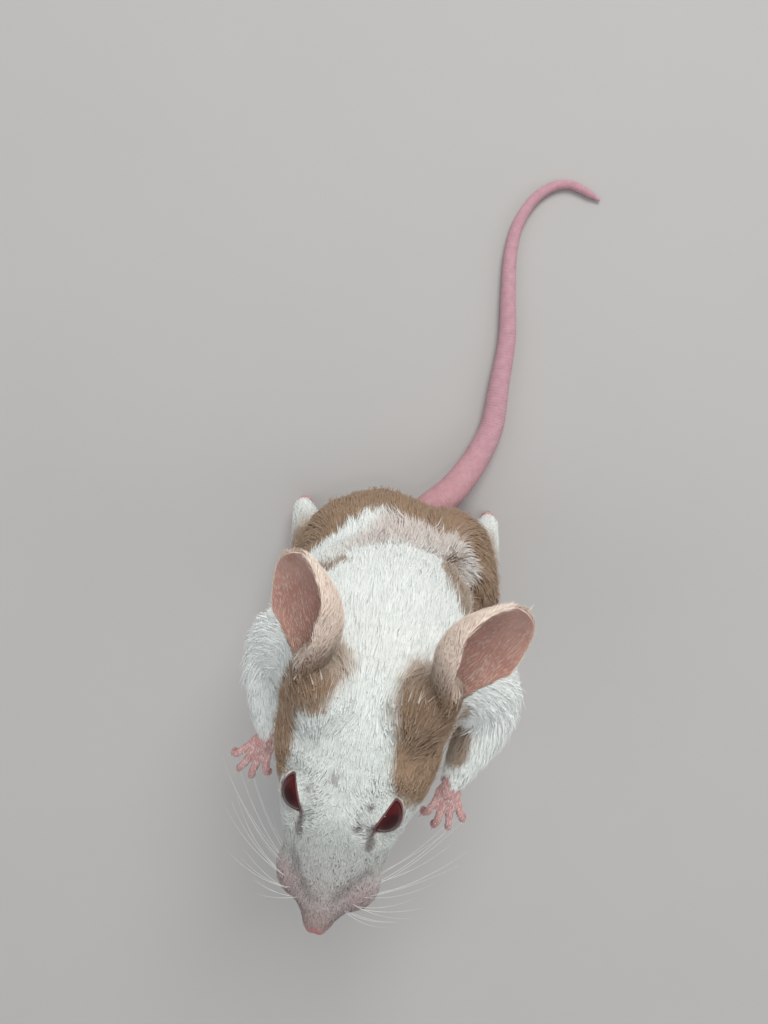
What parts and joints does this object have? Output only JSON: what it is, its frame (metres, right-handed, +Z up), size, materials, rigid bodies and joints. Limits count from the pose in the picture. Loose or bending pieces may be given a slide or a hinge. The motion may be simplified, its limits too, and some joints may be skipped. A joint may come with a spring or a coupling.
{
  "type": "pet mouse",
  "caption": "White and fawn pet mouse standing up on its hind feet, tail laid out behind, as a still life-size model.",
  "frame": {"origin": "middle of the model's bounding box, on the floor that the hind feet and the tail rest on", "axes": "+Z up; the mouse faces -Y and its tail runs out towards +Y; its left side is at +X"},
  "size_m": [0.0358, 0.0964, 0.053],
  "materials": {
    "coat_white": "short fur",
    "coat_fawn": "short fur",
    "skin_pink": "bare skin",
    "ear_skin": "thin skin with fine down",
    "tail_skin": "ringed skin",
    "eye_ruby": "wet gloss"
  },
  "bodies": {
    "root": {"head": "coat_white", "neck": "coat_white", "chest": "coat_white", "belly": "coat_white", "rump": "coat_fawn", "arm_left": "coat_white", "arm_right": "coat_white", "leg_left": "coat_white", "leg_right": "coat_white", "forepaw_left": "skin_pink", "forepaw_right": "skin_pink", "hind_foot_left": "skin_pink", "hind_foot_right": "skin_pink", "ear_left": "ear_skin", "ear_right": "ear_skin", "tail_root": "tail_skin", "tail_middle": "tail_skin", "tail_tip": "tail_skin", "eye_left": "eye_ruby", "eye_right": "eye_ruby"}
  },
  "joints": []
}
